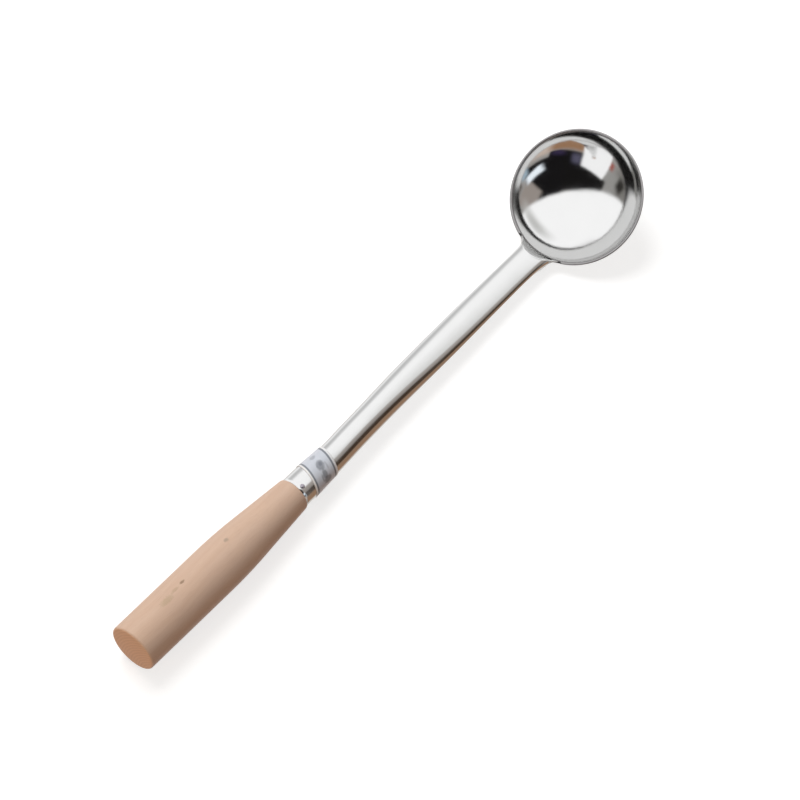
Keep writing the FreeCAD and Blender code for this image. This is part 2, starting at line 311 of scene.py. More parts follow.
class Net:
    """Short hand for building a node tree."""

    def __init__(self, tree: bpy.types.NodeTree) -> None:
        """Keeps the tree."""
        self.tree = tree

    def add(self, kind: str, inputs: dict | None = None, **settings: object) -> bpy.types.Node:
        """Adds a node.

        Args:
            kind: Type of the node.
            inputs: Values or sockets for its inputs, by name or number.
            **settings: Properties of the node.

        Returns:
            The node.
        """
        node = self.tree.nodes.new(kind)
        for name, value in settings.items():
            setattr(node, name, value)
        for name, value in (inputs or {}).items():
            self.feed(node.inputs[name], value)
        return node

    def feed(self, socket: Socket, value: object) -> None:
        """Links an input to a socket, or sets its value.

        Args:
            socket: The input.
            value: A socket, a value, or a colour of three numbers, which is opaque.
        """
        if isinstance(value, Socket):
            self.tree.links.new(value, socket)
        elif socket.type == "RGBA":
            socket.default_value = (*value, 1.0)
        else:
            socket.default_value = value

    def math(self, operation: str, *values: object, clamp: bool = False) -> Socket:
        """Adds a Math node, in either kind of tree.

        Args:
            operation: What it works out.
            *values: Its inputs.
            clamp: Whether the result is held between 0 and 1.

        Returns:
            The result.
        """
        inputs = dict(enumerate(values))
        return self.add("ShaderNodeMath", inputs, operation=operation, use_clamp=clamp).outputs[0]

    def plus(self, a: object, b: object) -> Socket:
        """Sum of two values."""
        return self.math("ADD", a, b)

    def minus(self, a: object, b: object) -> Socket:
        """First value less the second."""
        return self.math("SUBTRACT", a, b)

    def times(self, a: object, b: object) -> Socket:
        """Product of two values."""
        return self.math("MULTIPLY", a, b)

    def blend(self, share: Socket, a: Socket, b: Socket) -> Socket:
        """Value that goes from the first to the second as the share goes from 0 to 1."""
        return self.plus(self.times(self.minus(1.0, share), a), self.times(share, b))

    def reach(self, x: Socket, y: Socket) -> Socket:
        """Length of two values that stand square on each other."""
        return self.math("SQRT", self.plus(self.times(x, x), self.times(y, y)))

    def vector(self, operation: str, *values: object) -> bpy.types.Node:
        """A Vector Math node."""
        return self.add("ShaderNodeVectorMath", dict(enumerate(values)), operation=operation)

    def dot(self, a: object, b: object) -> Socket:
        """Dot product of two vectors."""
        return self.vector("DOT_PRODUCT", a, b).outputs["Value"]

    def split(self, vector: Socket) -> tuple[Socket, Socket, Socket]:
        """The three parts of a vector."""
        return tuple(self.add("ShaderNodeSeparateXYZ", {0: vector}).outputs)

    def join(self, x: object, y: object, z: object) -> Socket:
        """Vector of three parts."""
        return self.add("ShaderNodeCombineXYZ", {0: x, 1: y, 2: z}).outputs[0]

    def remap(self, value: Socket, low: object, high: object, new_low: float = 0.0,
              new_high: float = 1.0, smooth: bool = True) -> Socket:
        """Carries a value from one range to another and holds it at the ends.

        Args:
            value: The value.
            low: Start of its range, which may lie above the end.
            high: End of its range.
            new_low: What the start becomes.
            new_high: What the end becomes.
            smooth: Whether the ends are eased.

        Returns:
            The new value.
        """
        inputs = {"Value": value, "From Min": low, "From Max": high, "To Min": new_low, "To Max": new_high}
        kind = "SMOOTHSTEP" if smooth else "LINEAR"
        return self.add("ShaderNodeMapRange", inputs, interpolation_type=kind).outputs["Result"]

    def mix(self, share: Socket, first: Socket | Colour, second: Socket | Colour) -> Socket:
        """Mixes two colours.

        Args:
            share: Share of the second colour.
            first: Colour at 0.
            second: Colour at 1.

        Returns:
            The mixed colour.
        """
        node = self.add("ShaderNodeMix", data_type="RGBA")
        for number, value in ((0, share), (6, first), (7, second)):
            self.feed(node.inputs[number], value)
        return node.outputs[2]

    def noise(self, vector: Socket, scale: object, detail: float = 2.0, rough: float = 0.5) -> Socket:
        """Value of a Noise texture."""
        inputs = {"Vector": vector, "Scale": scale, "Detail": detail, "Roughness": rough}
        return self.add("ShaderNodeTexNoise", inputs).outputs[0]

    def bump(self, height: Socket, depth: float, strength: float, under: Socket | None = None) -> Socket:
        """Turns a height into a normal.

        Args:
            height: The height, from 0 to 1.
            depth: How deep a height of 1 is, in mm.
            strength: Strength of the relief.
            under: Normal of the relief that it lies on.

        Returns:
            The normal.
        """
        inputs = {"Height": height, "Distance": depth * MM, "Strength": strength}
        if under:
            inputs["Normal"] = under
        return self.add("ShaderNodeBump", inputs).outputs[0]


class EffectLibrary:
    """Effects that several finishes share, each a node group that is built once."""

    def __init__(self) -> None:
        """Starts with no group built."""
        self.groups: dict[str, bpy.types.NodeTree] = {}

    def group(self, name: str, inputs: dict[str, float | None], outputs: tuple[str, ...]) -> Net | None:
        """Starts a group unless it is there.

        Args:
            name: Name of the group.
            inputs: Default of each input by name, or None where the input is a vector.
            outputs: Names of the values that it puts out.

        Returns:
            The net to fill, or None if the group is built already.
        """
        if name in self.groups:
            return None
        tree = bpy.data.node_groups.new(name, "ShaderNodeTree")
        for label, default in inputs.items():
            kind = "NodeSocketVector" if default is None else "NodeSocketFloat"
            made = tree.interface.new_socket(name=label, in_out="INPUT", socket_type=kind)
            if default is not None:
                made.default_value = default
        for label in outputs:
            tree.interface.new_socket(name=label, in_out="OUTPUT", socket_type="NodeSocketFloat")
        self.groups[name] = tree
        return Net(tree)

    def scratches(self) -> bpy.types.NodeTree:
        """Fine lines that lie across a stretched coordinate, with patches where they are stronger.

        Returns:
            Group with inputs Vector, Fineness and Patch Scale, and outputs Height and Mask.
        """
        inputs = {"Vector": None, "Fineness": 1.0, "Patch Scale": 0.05}
        net = self.group("fine_lines", inputs, ("Height", "Mask"))
        if net:
            given = net.add("NodeGroupInput").outputs
            lines = net.remap(net.noise(given["Vector"], given["Fineness"], 3.0), 0.3, 0.7, smooth=False)
            patches = net.remap(net.noise(given["Vector"], given["Patch Scale"]), 0.35, 0.7)
            net.add("NodeGroupOutput", {"Height": lines, "Mask": net.times(patches, lines)})
        return self.groups["fine_lines"]

    def smudges(self) -> bpy.types.NodeTree:
        """Soft uneven patches, as left by hands and cloths.

        Returns:
            Group with inputs Vector, Scale and Contrast, and output Mask.
        """
        net = self.group("smudges", {"Vector": None, "Scale": 0.06, "Contrast": 0.5}, ("Mask",))
        if net:
            given = net.add("NodeGroupInput").outputs
            cloud = net.minus(net.noise(given["Vector"], given["Scale"], 4.0), 0.5)
            spread = net.times(cloud, given["Contrast"])
            net.add("NodeGroupOutput", {"Mask": net.math("ADD", spread, 0.5, clamp=True)})
        return self.groups["smudges"]

    def spot(self) -> bpy.types.NodeTree:
        """One soft mark round a point.

        Returns:
            Group with inputs Vector, Centre, Size, Softness and Raggedness, and output Mask.
        """
        inputs = {"Vector": None, "Centre": None, "Size": None, "Softness": 0.5, "Raggedness": 0.3}
        net = self.group("spot", inputs, ("Mask",))
        if net:
            given = net.add("NodeGroupInput").outputs
            offset = net.vector("SUBTRACT", given["Vector"], given["Centre"]).outputs[0]
            scaled = net.vector("DIVIDE", offset, given["Size"]).outputs[0]
            ragged = net.minus(net.noise(given["Vector"], 0.9, 3.0), 0.5)
            reach = net.plus(net.vector("LENGTH", scaled).outputs["Value"],
                             net.times(ragged, given["Raggedness"]))
            inner = net.minus(1.0, given["Softness"])
            net.add("NodeGroupOutput", {"Mask": net.remap(reach, inner, 1.0, 1.0, 0.0)})
        return self.groups["spot"]

    def cap(self) -> bpy.types.NodeTree:
        """Round part of the studio, as a mask over the directions.

        Returns:
            Group with inputs Direction, Forward, Inner and Outer, and output Mask.
        """
        inputs = {"Direction": None, "Forward": None, "Inner": 0.5, "Outer": 0.6}
        net = self.group("studio_cap", inputs, ("Mask",))
        if net:
            given = net.add("NodeGroupInput").outputs
            near = net.math("MINIMUM", net.dot(given["Direction"], given["Forward"]), 1.0)
            angle = net.math("ARCCOSINE", near)
            net.add("NodeGroupOutput", {"Mask": net.remap(angle, given["Inner"], given["Outer"], 1.0, 0.0)})
        return self.groups["studio_cap"]

    def panel(self) -> bpy.types.NodeTree:
        """Panel of the studio, as a mask over the directions.

        Returns:
            Group with inputs Direction, Right, Up, Forward, Half Width, Half Height and Softness,
            and output Mask.
        """
        inputs = {"Direction": None, "Right": None, "Up": None, "Forward": None,
                  "Half Width": 0.5, "Half Height": 0.5, "Softness": 0.2}
        net = self.group("studio_panel", inputs, ("Mask",))
        if net:
            given = net.add("NodeGroupInput").outputs
            ahead = net.math("MAXIMUM", net.dot(given["Direction"], given["Forward"]), 0.0001)
            inner, outer = net.minus(1.0, given["Softness"]), net.plus(1.0, given["Softness"])
            masks = []
            for axis, half in (("Right", "Half Width"), ("Up", "Half Height")):
                aside = net.math("DIVIDE", net.dot(given["Direction"], given[axis]), ahead)
                share = net.math("DIVIDE", net.math("ABSOLUTE", aside), given[half])
                masks.append(net.remap(share, inner, outer, 1.0, 0.0))
            net.add("NodeGroupOutput", {"Mask": net.times(*masks)})
        return self.groups["studio_panel"]


EFFECTS = EffectLibrary()


def effect(net: Net, tree: bpy.types.NodeTree, **inputs: object) -> bpy.types.bpy_prop_collection:
    """Places a shared effect with its own values.

    Args:
        net: Net of the material or the world.
        tree: Group of the effect.
        **inputs: Its inputs by name, with underscores for spaces.

    Returns:
        Its outputs.
    """
    node = net.add("ShaderNodeGroup", node_tree=tree)
    for name, value in inputs.items():
        net.feed(node.inputs[name.replace("_", " ")], value)
    return node.outputs


class Mark(NamedTuple):
    """Soft mark on a surface: its centre and half sizes in mm, its strength and its colour."""

    centre: tuple[float, float, float]
    size: tuple[float, float, float]
    strength: float
    colour: Colour


@dataclass(frozen=True)
class Finish:
    """What every finish has: a name, a way to start its material, own axes and marks."""

    name: str

    def start(self) -> tuple[bpy.types.Material, Net, bpy.types.Node]:
        """Makes the material with its surface shader.

        Returns:
            The material, its net and its Principled BSDF.
        """
        material = bpy.data.materials.new(self.name)
        material.use_nodes = True
        return material, Net(material.node_tree), material.node_tree.nodes["Principled BSDF"]

    @staticmethod
    def own_axes(net: Net, axes: Matrix) -> Socket:
        """Turns Object coordinates into a piece's own axes.

        Args:
            net: Net of the material.
            axes: Own axes of the piece, which may be mirrored.

        Returns:
            Own coordinates in mm.
        """
        coords = net.add("ShaderNodeTexCoord").outputs["Object"]
        back = axes.inverted()
        flip = math.copysign(1.0, back.determinant())
        turned = back.to_3x3() @ Matrix.Diagonal((flip, 1.0, 1.0))
        inputs = {"Vector": coords, "Location": back.translation / MM, "Rotation": turned.to_euler(),
                  "Scale": (flip / MM, 1 / MM, 1 / MM)}
        return net.add("ShaderNodeMapping", inputs, vector_type="POINT").outputs[0]

    @staticmethod
    def marked(net: Net, place: Socket, colour: Socket, marks: tuple[Mark, ...], softness: float,
               raggedness: float) -> Socket:
        """Lays marks over a colour.

        Args:
            net: Net of the material.
            place: Coordinates in mm in which the marks lie.
            colour: Colour without the marks.
            marks: The marks, the later ones over the earlier.
            softness: Share of each mark over which it fades.
            raggedness: How uneven its outline is.

        Returns:
            Colour with the marks.
        """
        for mark in marks:
            spot = effect(net, EFFECTS.spot(), Vector=place, Centre=mark.centre, Size=mark.size,
                          Softness=softness, Raggedness=raggedness)
            colour = net.mix(net.times(spot["Mask"], mark.strength), colour, mark.colour)
        return colour


@dataclass(frozen=True)
class PolishedSteel(Finish):
    """Bright pressed steel with the faint lines of its polishing wheel; depths in mm."""

    tint: Colour = STEEL_TINT
    smudged: float = 0.93
    cut_tint: Colour = (0.34, 0.33, 0.33)
    roughness: float = 0.06
    shank_extra: float = 0.07
    line_extra: float = 0.05
    smudge_extra: float = 0.05
    cut_extra: float = 0.30
    line_depth: float = 0.006
    wave_depth: float = 0.12

    def build(self, bowl: Matrix, shank: Matrix) -> bpy.types.Material:
        """Makes the material.

        Args:
            bowl: Own axes of the bowl, z through its pole.
            shank: Own axes of the shank, z along it.

        Returns:
            The finished material.
        """
        material, net, shader = self.start()
        in_bowl, in_shank = self.own_axes(net, bowl), self.own_axes(net, shank)
        share = net.remap(net.split(in_shank)[2], -5.0, 12.0)
        around = self.lines(net, in_bowl, Flow.ROUND)
        along = self.lines(net, in_shank, Flow.ALONG)
        smudge = effect(net, EFFECTS.smudges(), Vector=in_bowl, Scale=0.05, Contrast=1.2)["Mask"]
        cut = net.times(self.cut_edge(net, in_bowl), net.minus(1.0, share))
        rough = net.plus(self.roughness, net.times(share, self.shank_extra))
        lines = net.blend(share, around["Mask"], along["Mask"])
        for mask, extra in ((lines, self.line_extra), (cut, self.cut_extra), (smudge, self.smudge_extra)):
            rough = net.plus(rough, net.times(mask, extra))
        net.feed(shader.inputs["Roughness"], rough)
        worn = tuple(self.smudged * part for part in self.tint)
        tint = net.mix(net.times(smudge, 0.5), self.tint, worn)
        net.feed(shader.inputs["Base Color"], net.mix(cut, tint, self.cut_tint))
        shader.inputs["Metallic"].default_value = 1.0
        waves = net.bump(net.noise(in_bowl, 0.07), self.wave_depth, 0.5)
        height = net.blend(share, around["Height"], along["Height"])
        net.feed(shader.inputs["Normal"], net.bump(height, self.line_depth, 0.4, waves))
        return material

    def cut_edge(self, net: Net, own: Socket) -> Socket:
        """Mask of the sheared edge of the rim, which lies in the plane z = 0 of the bowl."""
        depth = net.math("ABSOLUTE", net.split(own)[2])
        return net.remap(depth, 1.0, 0.7)

    def lines(self, net: Net, own: Socket, flow: Flow) -> bpy.types.bpy_prop_collection:
        """Polishing lines round an axis or along it.

        Args:
            net: Net of the material.
            own: Own coordinates of the part in mm.
            flow: Which way the lines run.

        Returns:
            Outputs Height and Mask.
        """
        x, y, z = net.split(own)
        if flow is Flow.ROUND:
            x, y = net.reach(x, y), net.math("ARCTAN2", y, x)
        stretched = net.join(*(net.times(part, by) for part, by in zip((x, y, z), flow.value)))
        return effect(net, EFFECTS.scratches(), Vector=stretched, Fineness=1.6, Patch_Scale=0.12)


@dataclass(frozen=True)
class PinSteel(Finish):
    """Drawn wire, duller than the sheet; the dark purple-grey of its colours is a painted reflection."""

    # Painted reflection: the dark purple-grey tint of both wire colours stands in for what the pin reflects;
    # the duller finish is the wire's own.
    dull_with_painted_reflection: Colour = (0.34, 0.31, 0.35)
    bright_with_painted_reflection: Colour = (0.6, 0.57, 0.6)

    def build(self, axes: Matrix) -> bpy.types.Material:
        """Makes the material.

        Args:
            axes: Own axes of the pin, z out of the socket.

        Returns:
            The finished material.
        """
        material, net, shader = self.start()
        own = self.own_axes(net, axes)
        lines = effect(net, EFFECTS.scratches(), Vector=own, Fineness=5.0, Patch_Scale=1.0)
        # The scratch lines mix two wire colours that carry a painted purple-grey reflection.
        net.feed(shader.inputs["Base Color"], net.mix(lines["Mask"], self.dull_with_painted_reflection, self.bright_with_painted_reflection))
        net.feed(shader.inputs["Roughness"], net.remap(lines["Height"], 0, 1, 0.25, 0.42))
        net.feed(shader.inputs["Normal"], net.bump(lines["Height"], 0.02, 0.5))
        shader.inputs["Metallic"].default_value = 1.0
        return material


@dataclass(frozen=True)
class BareBeech(Finish):
    """Sanded, unfinished pale wood with fine pores, dark flecks and end grain at the butt."""

    length: float
    radius: float
    pale: Colour = (0.66, 0.47, 0.35)
    warm: Colour = (0.62, 0.425, 0.305)
    pore: Colour = (0.42, 0.27, 0.19)
    fleck: Colour = (0.32, 0.18, 0.11)
    handled: Colour = (0.55, 0.40, 0.33)
    end: Colour = (0.74, 0.48, 0.32)
    end_ring: Colour = (0.60, 0.37, 0.235)

    def build(self, axes: Matrix) -> bpy.types.Material:
        """Makes the material.

        Args:
            axes: Own axes of the grip, z from its shoulder towards the butt.

        Returns:
            The finished material.
        """
        material, net, shader = self.start()
        own = self.own_axes(net, axes)
        x, y, z = net.split(own)
        fibre = net.join(net.times(x, 3.2), net.times(y, 3.2), net.times(z, 0.16))
        pores = net.noise(fibre, 1.0, 4.0, 0.6)
        side = self.marked(net, own, self.side_grain(net, own, fibre, pores), self.stains(), 0.7, 0.8)
        end = net.mix(self.end_grain(net, own), self.end, self.end_ring)
        net.feed(shader.inputs["Base Color"], net.mix(self.butt(net, own), side, end))
        net.feed(shader.inputs["Roughness"], net.remap(pores, 0.2, 0.8, 0.40, 0.56))
        net.feed(shader.inputs["Normal"], net.bump(pores, 0.08, 0.35))
        shader.inputs["Specular IOR Level"].default_value = 0.6
        return material

    def side_grain(self, net: Net, own: Socket, fibre: Socket, pores: Socket) -> Socket:
        """Colour of the turned sides: broad bands, pores, flecks and handled patches.

        Args:
            net: Net of the material.
            own: Own coordinates of the grip in mm.
            fibre: Coordinates stretched along the fibres.
            pores: Pattern of the pores.

        Returns:
            The colour.
        """
        x, y, z = net.split(own)
        sweep = net.times(net.noise(own, 0.03, 1.0), 9.0)
        board = net.join(net.plus(x, sweep), net.times(y, 0.6), net.times(z, 0.035))
        bands = net.remap(net.noise(board, 0.22, 3.0, 0.55), 0.32, 0.68)
        flecks = net.remap(net.noise(fibre, 0.45, 1.0), 0.66, 0.74)
        cloud = effect(net, EFFECTS.smudges(), Vector=own, Scale=0.05, Contrast=1.5)["Mask"]
        colour = net.mix(bands, self.pale, self.warm)
        colour = net.mix(net.times(net.remap(pores, 0.42, 0.72), 0.16), colour, self.pore)
        colour = net.mix(net.times(flecks, 0.14), colour, self.fleck)
        return net.mix(net.times(cloud, 0.35), colour, self.handled)

    def stains(self) -> tuple[Mark, ...]:
        """The few stains and pits of the crown.

        Returns:
            The marks, in the grip's own axes.
        """
        return (
            Mark((1.0, 16.5, 117.0), (3.2, 3.0, 7.5), 0.40, (0.34, 0.25, 0.13)),
            Mark((2.4, 16.4, 108.0), (1.6, 3.0, 4.6), 0.34, (0.30, 0.20, 0.10)),
            Mark((3.0, 16.4, 101.0), (1.3, 2.2, 3.0), 0.80, (0.22, 0.13, 0.07)),
            Mark((3.1, 16.1, 60.4), (1.9, 2.2, 2.4), 0.55, (0.27, 0.22, 0.17)),
        )

    def butt(self, net: Net, own: Socket) -> Socket:
        """Mask of the sawn end, with the rounded edge left as side grain.

        Args:
            net: Net of the material.
            own: Own coordinates of the grip in mm.

        Returns:
            The mask.
        """
        x, y, z = net.split(own)
        inside = net.remap(net.reach(x, y), self.radius - 1.0, self.radius - 0.2, 1.0, 0.0)
        return net.times(net.remap(z, self.length - 0.9, self.length - 0.3), inside)

    def end_grain(self, net: Net, own: Socket) -> Socket:
        """Growth rings and pores of the sawn end.

        Args:
            net: Net of the material.
            own: Own coordinates of the grip in mm.

        Returns:
            Share of the rings' colour.
        """
        x, y, _ = net.split(own)
        plane = net.join(net.plus(x, 26.0), net.plus(y, 14.0), 0.0)
        inputs = {"Vector": plane, "Scale": 0.16, "Distortion": 1.6, "Detail": 2.0}
        rings = net.add("ShaderNodeTexWave", inputs, wave_type="RINGS", rings_direction="Z").outputs["Fac"]
        pores = net.remap(net.noise(plane, 1.8, 3.0), 0.5, 0.8, 0.0, 0.5)
        return net.math("ADD", net.times(rings, 0.55), pores, clamp=True)


@dataclass(frozen=True)
class PrintedPaper(Finish):
    """Pale grey-blue band with white edges, two dark lines and smudged, wordless print; sizes in mm."""

    start_at: float
    width: float
    skew: float
    radius: float = 10.6
    paper: Colour = (0.64, 0.67, 0.73)
    mottle: Colour = (0.56, 0.595, 0.665)
    edge: Colour = (0.86, 0.87, 0.88)
    line: Colour = (0.13, 0.145, 0.17)
    ink: Colour = (0.10, 0.11, 0.135)

    def build(self, axes: Matrix) -> bpy.types.Material:
        """Makes the material.

        Args:
            axes: Own axes of the grip, z from its shoulder towards the butt.

        Returns:
            The finished material.
        """
        material, net, shader = self.start()
        own = self.own_axes(net, axes)
        x, y, z = net.split(own)
        lean = net.times(x, math.tan(math.radians(self.skew)))
        across = net.minus(net.minus(net.times(z, -1.0), lean), self.start_at)
        around = net.times(net.math("ARCTAN2", x, y), self.radius)
        colour = self.ruled(net, across, net.mix(net.noise(own, 0.5, 3.0), self.paper, self.mottle))
        colour = self.marked(net, net.join(around, across, 0.0), colour, self.print_marks(), 0.45, 0.5)
        net.feed(shader.inputs["Base Color"], colour)
        fibre = net.noise(own, 2.0, 3.0)
        net.feed(shader.inputs["Roughness"], net.remap(fibre, 0.2, 0.8, 0.30, 0.42))
        net.feed(shader.inputs["Normal"], net.bump(fibre, 0.03, 0.3))
        return material

    def ruled(self, net: Net, across: Socket, colour: Socket) -> Socket:
        """Lays the white edges and the two dark lines over the paper.

        Args:
            net: Net of the material.
            across: Place across the band.
            colour: Colour of the paper.

        Returns:
            Colour with edges and lines.
        """
        near, far = net.remap(across, 1.5, 1.2), net.remap(across, self.width - 1.7, self.width - 1.4)
        colour = net.mix(net.math("MAXIMUM", near, far), colour, self.edge)
        for place, half in ((2.0, 0.6), (self.width - 2.2, 0.65)):
            off = net.math("ABSOLUTE", net.minus(across, place))
            share = net.times(net.remap(off, half + 0.4, half - 0.3), 0.85)
            colour = net.mix(share, colour, self.line)
        return colour

    def print_marks(self) -> tuple[Mark, ...]:
        """The smudged bars that stand for print.

        Returns:
            The marks, placed round the band and across it.
        """
        bars = (
            ((-2.0, 10.6), (4.2, 3.9), 0.60),
            ((-1.4, 11.2), (1.8, 1.6), 0.45),
            ((-8.4, 10.6), (3.8, 2.4), 0.58),
            ((-9.6, 8.0), (3.6, 1.0), 0.40),
            ((-12.6, 11.6), (3.2, 4.0), 0.58),
            ((5.8, 10.2), (2.2, 2.8), 0.34),
            ((-4.6, 14.6), (3.4, 0.8), 0.28),
        )
        return tuple(Mark((*at, 0.0), (*size, 1.0), strength, self.ink) for at, size, strength in bars)


class TurnedForm:
    """Geometry node tree that revolves a profile about the z axis."""

    hub: float = 0.1
    merge_distance: float = 0.000004

    def __init__(self) -> None:
        """Builds the tree once."""
        self.tree = bpy.data.node_groups.new("turned_form", "GeometryNodeTree")
        self.identifiers: dict[str, str] = {}
        for name, kind in (("Profile", "Geometry"), ("Steps Around", "Int"), ("Hub", "Float"),
                           ("Skew", "Float"), ("Material", "Material")):
            made = self.tree.interface.new_socket(name=name, in_out="INPUT", socket_type="NodeSocket" + kind)
            self.identifiers[name] = made.identifier
        self.tree.interface.new_socket(name="Piece", in_out="OUTPUT", socket_type="NodeSocketGeometry")
        net = Net(self.tree)
        given = net.add("NodeGroupInput").outputs
        profile = net.add("GeometryNodeMeshToCurve", {0: given["Profile"]}).outputs[0]
        circle = net.add("GeometryNodeCurvePrimitiveCircle",
                         {"Resolution": given["Steps Around"], "Radius": given["Hub"]}).outputs["Curve"]
        swept = net.add("GeometryNodeCurveToMesh", {"Curve": circle, "Profile Curve": profile}).outputs[0]
        aside = net.split(net.add("GeometryNodeInputPosition").outputs[0])[0]
        lean = net.join(0.0, 0.0, net.times(aside, given["Skew"]))
        leaned = net.add("GeometryNodeSetPosition", {"Geometry": swept, "Offset": lean}).outputs[0]
        merged = net.add("GeometryNodeMergeByDistance",
                         {"Geometry": leaned, "Distance": self.merge_distance}).outputs[0]
        smooth = net.add("GeometryNodeSetShadeSmooth", {"Geometry": merged}).outputs[0]
        real = net.add("GeometryNodeRealizeInstances", {0: smooth}).outputs[0]
        dressed = net.add("GeometryNodeSetMaterial", {"Geometry": real, "Material": given["Material"]})
        net.add("NodeGroupOutput", {0: dressed.outputs[0]})

    def make(self, name: str, profile: Profile, around: int, material: bpy.types.Material, axes: Matrix,
             closed: bool = False, skew: float = 0.0) -> bpy.types.Object:
        """Revolves a profile into a finished piece.

        Args:
            name: Name of the piece.
            profile: Radius and place along the axis of each point, in mm.
            around: Steps round the axis.
            material: Finish of the piece.
            axes: Matrix that carries the piece to its place.
            closed: Whether the last point of the profile joins the first.
            skew: Rise along the axis for each unit of x.

        Returns:
            The finished object at the origin, with its place in its mesh.
        """
        mesh = bpy.data.meshes.new(name + "_profile")
        points = [(radius * MM - self.hub, -along * MM, 0.0) for radius, along in profile]
        edges = [(i, i + 1) for i in range(len(points) - 1)]
        if closed:
            edges.append((len(points) - 1, 0))
        mesh.from_pydata(points, edges, [])
        carrier = put(name + "_carrier", mesh)
        turned = carrier.modifiers.new("turned", "NODES")
        turned.node_group = self.tree
        values = {"Steps Around": around, "Hub": self.hub, "Skew": skew, "Material": material}
        for label, value in values.items():
            turned[self.identifiers[label]] = value
        shaped = carrier.evaluated_get(bpy.context.evaluated_depsgraph_get())
        result = bpy.data.meshes.new_from_object(shaped)
        carrier.modifiers.remove(turned)
        bpy.data.objects.remove(carrier)
        result.name = name
        result.transform(axes)
        face_outwards(result)
        return put(name, result)


class Station(NamedTuple):
    """Section of the shank: its place, how far it bows aside, and its outline in mm and degrees."""

    reach: float
    bow: float
    half: float
    crown: float
    depth: float
    wrap: float | None
    flare: float


class SocketRing(NamedTuple):
    """Section of the socket: how far back from the shoulder, its drift off the grip's axis, its radius."""

    back: float
    drift: float
    radius: float


